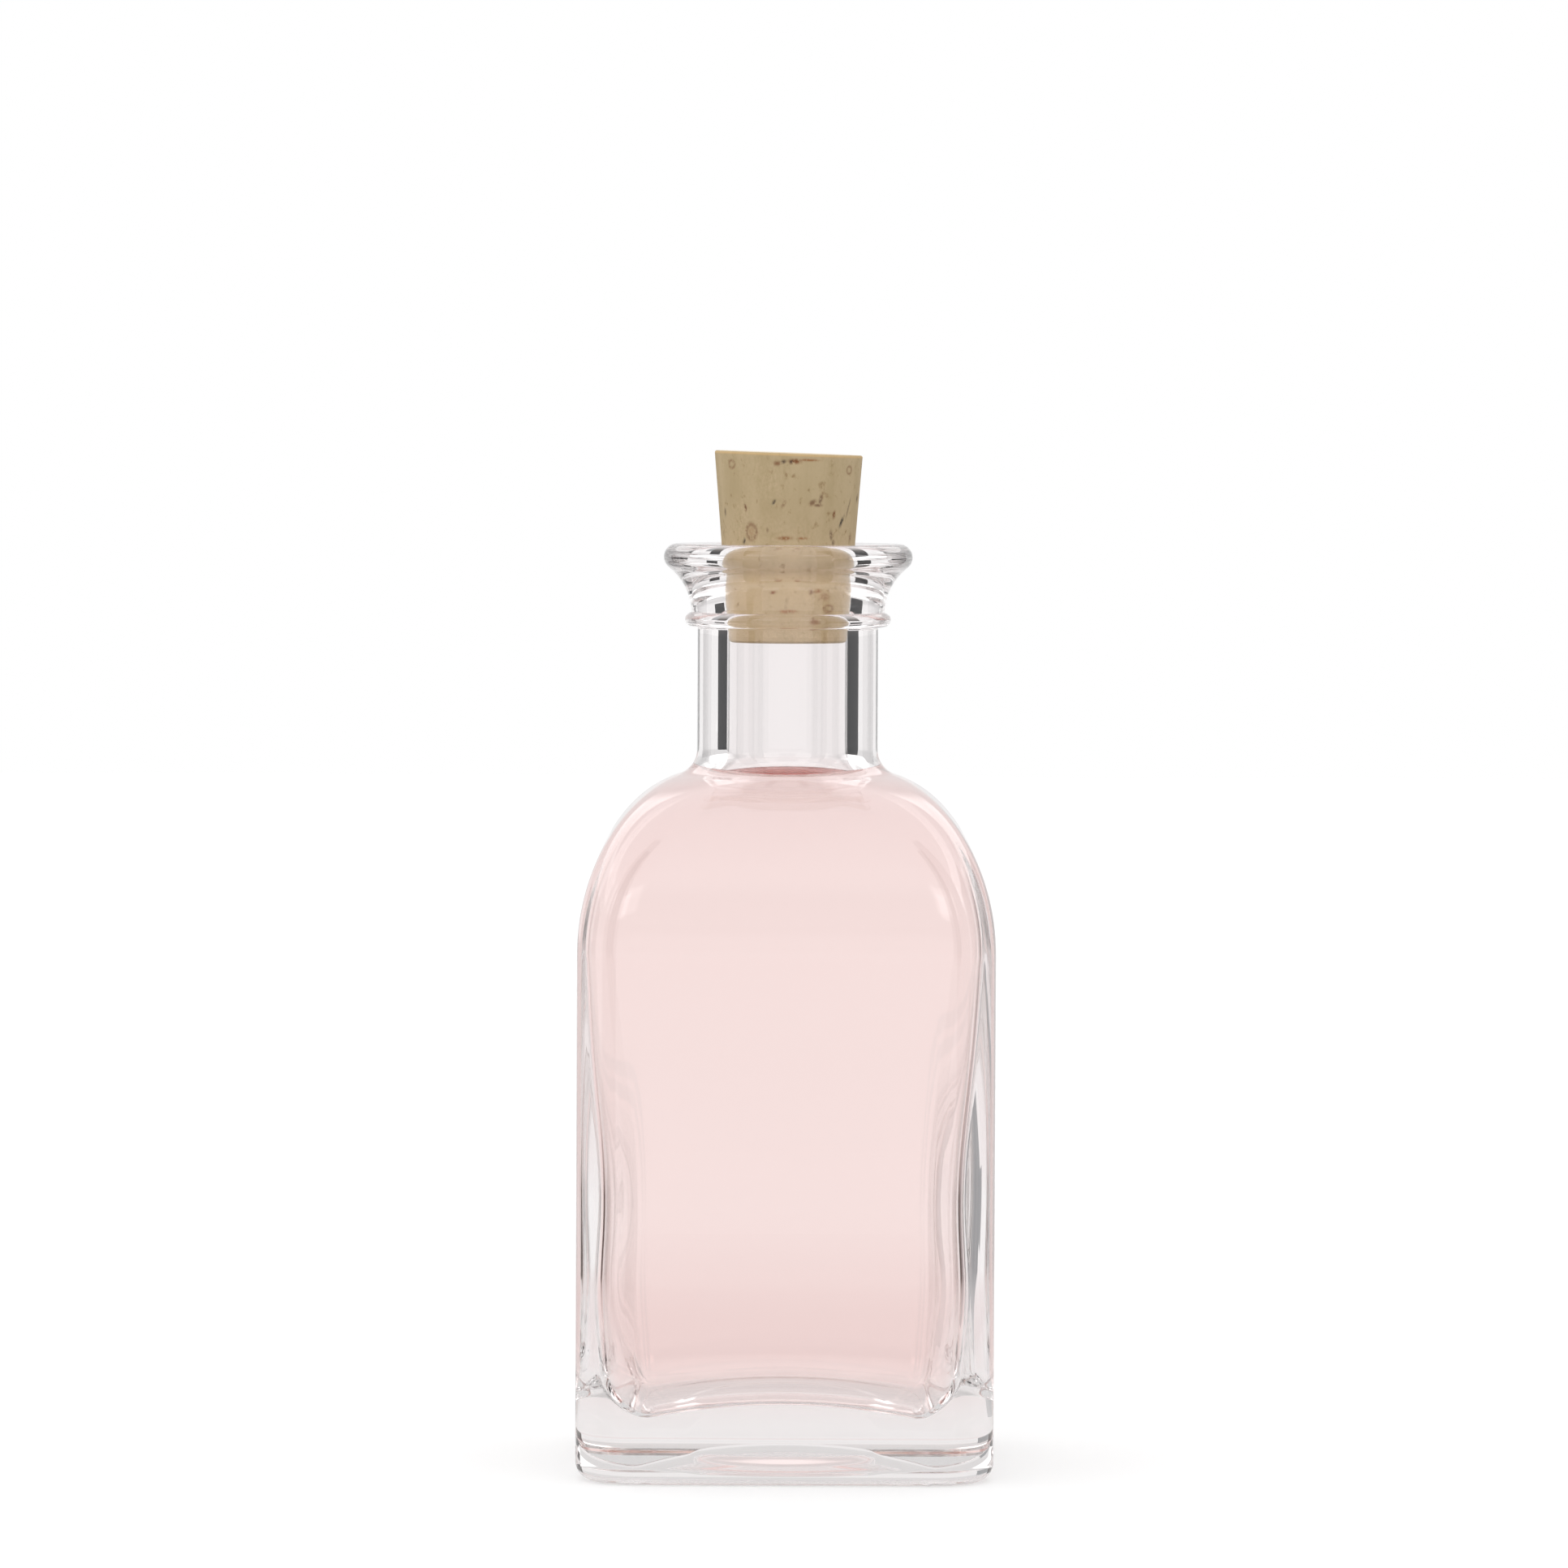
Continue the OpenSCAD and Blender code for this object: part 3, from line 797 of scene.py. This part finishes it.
def make_light():
    """A soft, even studio light from the world, white behind the object in view."""
    world = bpy.data.worlds.new("soft_studio")
    world.use_nodes = True
    tree = world.node_tree
    tree.nodes.clear()
    path = add_node(tree, "ShaderNodeLightPath")
    place = add_node(tree, "ShaderNodeTexCoord")
    split = add_node(tree, "ShaderNodeSeparateXYZ", inputs={0: (place, "Generated")})
    # In glass: pale up to a little over the horizon, then grey, and pale again overhead
    sky = add_node(tree, "ShaderNodeValToRGB", inputs={0: (split, "Z")})
    set_stops(sky.color_ramp, [(sine, (level, level, level, 1.0)) for sine, level in SKY])
    # Four soft boxes over the diagonals: |x y| / (1 - z^2) is 1/2 on a diagonal and 0 straight ahead
    cross = add_node(tree, "ShaderNodeMath", {"operation": "MULTIPLY"},
                     {0: (split, "X"), 1: (split, "Y")})
    cross = add_node(tree, "ShaderNodeMath", {"operation": "ABSOLUTE"}, {0: (cross, 0)})
    lying = add_node(tree, "ShaderNodeMath", {"operation": "MULTIPLY"},
                     {0: (split, "Z"), 1: (split, "Z")})
    lying = add_node(tree, "ShaderNodeMath", {"operation": "SUBTRACT"}, {0: 1.0, 1: (lying, 0)})
    diagonal = add_node(tree, "ShaderNodeMath", {"operation": "DIVIDE"}, {0: (cross, 0), 1: (lying, 0)})
    aside = add_node(tree, "ShaderNodeMapRange", {"interpolation_type": "SMOOTHSTEP"}, {
        "Value": (diagonal, 0), "From Min": BOX_ASIDE[0] / 2, "From Max": BOX_ASIDE[1] / 2})
    rise = add_node(tree, "ShaderNodeMapRange", {"interpolation_type": "SMOOTHSTEP"}, {
        "Value": (split, "Z"), "From Min": BOX_RISE[0], "From Max": BOX_RISE[1]})
    fall = add_node(tree, "ShaderNodeMapRange", {"interpolation_type": "SMOOTHSTEP"}, {
        "Value": (split, "Z"), "From Min": BOX_FALL[1], "From Max": BOX_FALL[0]})
    box = add_node(tree, "ShaderNodeMath", {"operation": "MULTIPLY"}, {0: (aside, 0), 1: (rise, 0)})
    box = add_node(tree, "ShaderNodeMath", {"operation": "MULTIPLY"}, {0: (box, 0), 1: (fall, 0)})
    lit = add_node(tree, "ShaderNodeMath", {"operation": "MULTIPLY_ADD"},
                   {0: (box, 0), 1: BOX_LEVEL, 2: 1.0})
    through = add_node(tree, "ShaderNodeBackground", inputs={"Color": (sky, 0), "Strength": (lit, 0)})
    # On matt surfaces: brighter from above and from the front left, and more for those behind glass
    lean = add_node(tree, "ShaderNodeVectorMath", {"operation": "DOT_PRODUCT"},
                    {0: (place, "Generated"), 1: LEAN_TOWARDS})
    soft = add_node(tree, "ShaderNodeMath", {"operation": "MULTIPLY_ADD"},
                    {0: (lean, "Value"), 1: SOFT_LEAN, 2: SOFT_LEVEL})
    more = add_node(tree, "ShaderNodeMath", {"operation": "MULTIPLY_ADD"},
                    {0: (path, "Is Transmission Ray"), 1: BEHIND_GLASS, 2: 1.0})
    soft = add_node(tree, "ShaderNodeMath", {"operation": "MULTIPLY"}, {0: (soft, 0), 1: (more, 0)})
    matt = add_node(tree, "ShaderNodeBackground", inputs={"Color": "#FFFFFF", "Strength": (soft, 0)})
    lights = add_node(tree, "ShaderNodeMixShader",
                      inputs={0: (path, "Diffuse Depth"), 1: (through, 0), 2: (matt, 0)})
    white = add_node(tree, "ShaderNodeBackground", inputs={"Color": "#FFFFFF", "Strength": 1.0})
    seen = add_node(tree, "ShaderNodeMixShader",
                    inputs={0: (path, "Is Camera Ray"), 1: (lights, 0), 2: (white, 0)})
    add_node(tree, "ShaderNodeOutputWorld", inputs={"Surface": (seen, 0)})
    world.cycles.sampling_method = "NONE"
    bpy.context.scene.world = world


# The camera, in millimetres, degrees and pixels, read from the bottle's outline in the photograph
PHOTO_SIZE = 1932
FOCAL_PIXELS = 10603
CAMERA_DISTANCE = 1000
CAMERA_Z = 124.5
AXIS_PIXEL_X = 970.0
PITCH = 2.595
ROLL = 0.256
SENSOR_W = 36


def make_camera():
    """A long lens a metre away, a little above the bottle, leaning as the photograph does."""
    data = bpy.data.cameras.new("photo_camera")
    data.sensor_width = SENSOR_W
    data.lens = FOCAL_PIXELS / PHOTO_SIZE * SENSOR_W
    data.clip_start = 10 * MM
    camera = bpy.data.objects.new("photo_camera", data)
    pitch, roll = math.radians(PITCH), math.radians(ROLL)
    back = Vector((0, -math.cos(pitch), math.sin(pitch)))
    right, up = Vector((1, 0, 0)), Vector((0, math.sin(pitch), math.cos(pitch)))
    turned_right = right * math.cos(roll) + up * math.sin(roll)
    turned_up = up * math.cos(roll) - right * math.sin(roll)
    aside = (PHOTO_SIZE / 2 - AXIS_PIXEL_X) / FOCAL_PIXELS * CAMERA_DISTANCE
    matrix = Matrix((turned_right, turned_up, back)).transposed().to_4x4()
    matrix.translation = Vector((aside, -CAMERA_DISTANCE, CAMERA_Z)) * MM
    camera.matrix_world = matrix
    bpy.context.scene.collection.objects.link(camera)
    bpy.context.scene.camera = camera


make_camera()
make_bottle()
make_liquid()
make_cork()
make_floor()
make_cloths()
make_light()
scene = bpy.context.scene
scene.view_settings.view_transform = "Standard"
# Light that is held inside the thick walls is mirrored many times before it leaves them
scene.cycles.max_bounces = 40
scene.cycles.glossy_bounces = 24
scene.cycles.transmission_bounces = 40
